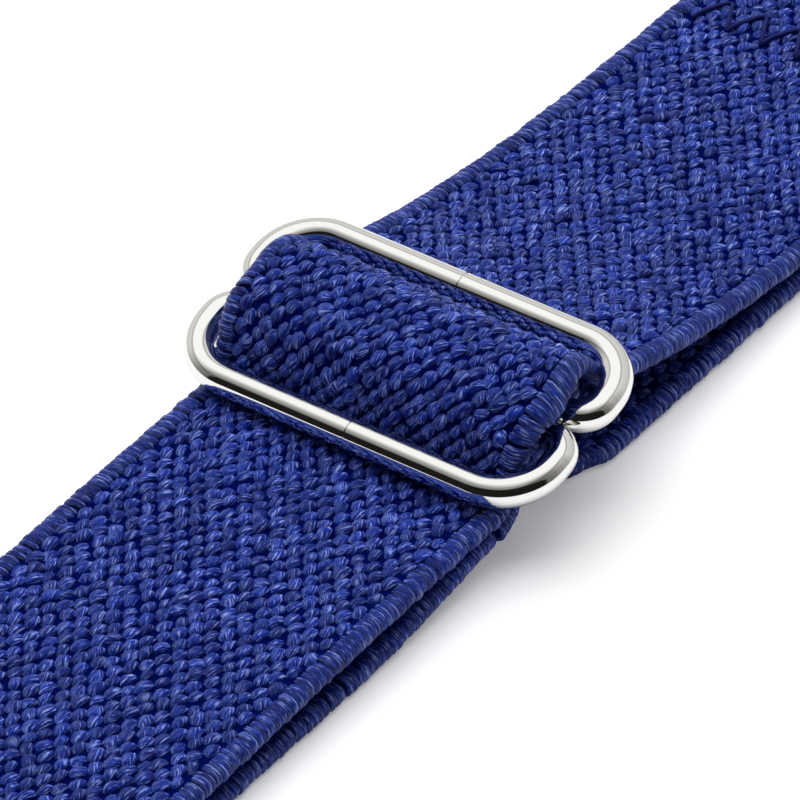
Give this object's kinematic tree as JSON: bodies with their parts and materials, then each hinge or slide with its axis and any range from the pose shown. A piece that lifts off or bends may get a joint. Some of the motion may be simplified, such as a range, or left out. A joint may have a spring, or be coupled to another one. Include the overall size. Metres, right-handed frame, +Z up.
{
  "type": "nylon watch strap",
  "caption": "Elastic nylon watch strap with a double-ring wire slider on a threaded run, a sewn fold and a loop, each around a sprung bar.",
  "frame": {"origin": "on the plane that the strap lies on, under the middle of its box, halfway between the two spring bars", "axes": "+X along the strap towards the sewn end, +Y across it, +Z up from the plane it lies on"},
  "size_m": [0.1404, 0.0268, 0.0103],
  "materials": {
    "blue_webbing": "woven elastic nylon",
    "nickel_plated_wire": "polished nickel plate",
    "stainless_steel": "turned and polished"
  },
  "bodies": {
    "sewn_end": {"strap_sewn_fold": "blue_webbing", "strap_flap": "blue_webbing", "strap_upper_run_a": "blue_webbing"},
    "slider": {"slider_near_ring": "nickel_plated_wire", "slider_far_ring": "nickel_plated_wire", "slider_braze": "nickel_plated_wire", "strap_threaded_hump": "blue_webbing", "strap_fixed_end": "blue_webbing"},
    "loop_end": {"strap_loop_b": "blue_webbing", "strap_upper_run_b": "blue_webbing", "strap_lower_run_b": "blue_webbing"},
    "bar_a": {"bar_a_tube": "stainless_steel", "bar_a_spring": "stainless_steel"},
    "bar_a_left_tip": {"bar_a_left_tip": "stainless_steel"},
    "bar_a_right_tip": {"bar_a_right_tip": "stainless_steel"},
    "bar_b": {"bar_b_tube": "stainless_steel", "bar_b_spring": "stainless_steel"},
    "bar_b_left_tip": {"bar_b_left_tip": "stainless_steel"},
    "bar_b_right_tip": {"bar_b_right_tip": "stainless_steel"}
  },
  "joints": [
    {"name": "slider_slide", "type": "slide", "parent": "sewn_end", "child": "slider", "axis": [1, 0, 0], "range_m": [-0.045, 0.024], "deforming": ["strap_upper_run_a"]},
    {"name": "loop_end_slide", "type": "slide", "parent": "slider", "child": "loop_end", "axis": [1, 0, 0], "range_m": [-0.012, 0.0225], "deforming": ["strap_upper_run_b", "strap_lower_run_b"]},
    {"name": "bar_a_spin", "type": "hinge", "parent": "sewn_end", "child": "bar_a", "pos_m": [0.068, 0, 0.00225], "axis": [0, 1, 0], "continuous": true},
    {"name": "bar_a_left_tip_push", "type": "slide", "parent": "bar_a", "child": "bar_a_left_tip", "axis": [0, -1, 0], "range_m": [0, 0.0012], "stiffness_N_per_m": 800, "deforming": ["bar_a_spring"]},
    {"name": "bar_a_right_tip_push", "type": "slide", "parent": "bar_a", "child": "bar_a_right_tip", "axis": [0, 1, 0], "range_m": [0, 0.0012], "stiffness_N_per_m": 800},
    {"name": "bar_b_spin", "type": "hinge", "parent": "loop_end", "child": "bar_b", "pos_m": [-0.068, 0, 0.00225], "axis": [0, 1, 0], "continuous": true},
    {"name": "bar_b_left_tip_push", "type": "slide", "parent": "bar_b", "child": "bar_b_left_tip", "axis": [0, -1, 0], "range_m": [0, 0.0012], "stiffness_N_per_m": 800, "deforming": ["bar_b_spring"]},
    {"name": "bar_b_right_tip_push", "type": "slide", "parent": "bar_b", "child": "bar_b_right_tip", "axis": [0, 1, 0], "range_m": [0, 0.0012], "stiffness_N_per_m": 800}
  ],
  "couplings": [
    {"joint": "loop_end_slide", "follows": "slider_slide", "ratio": -0.5}
  ]
}
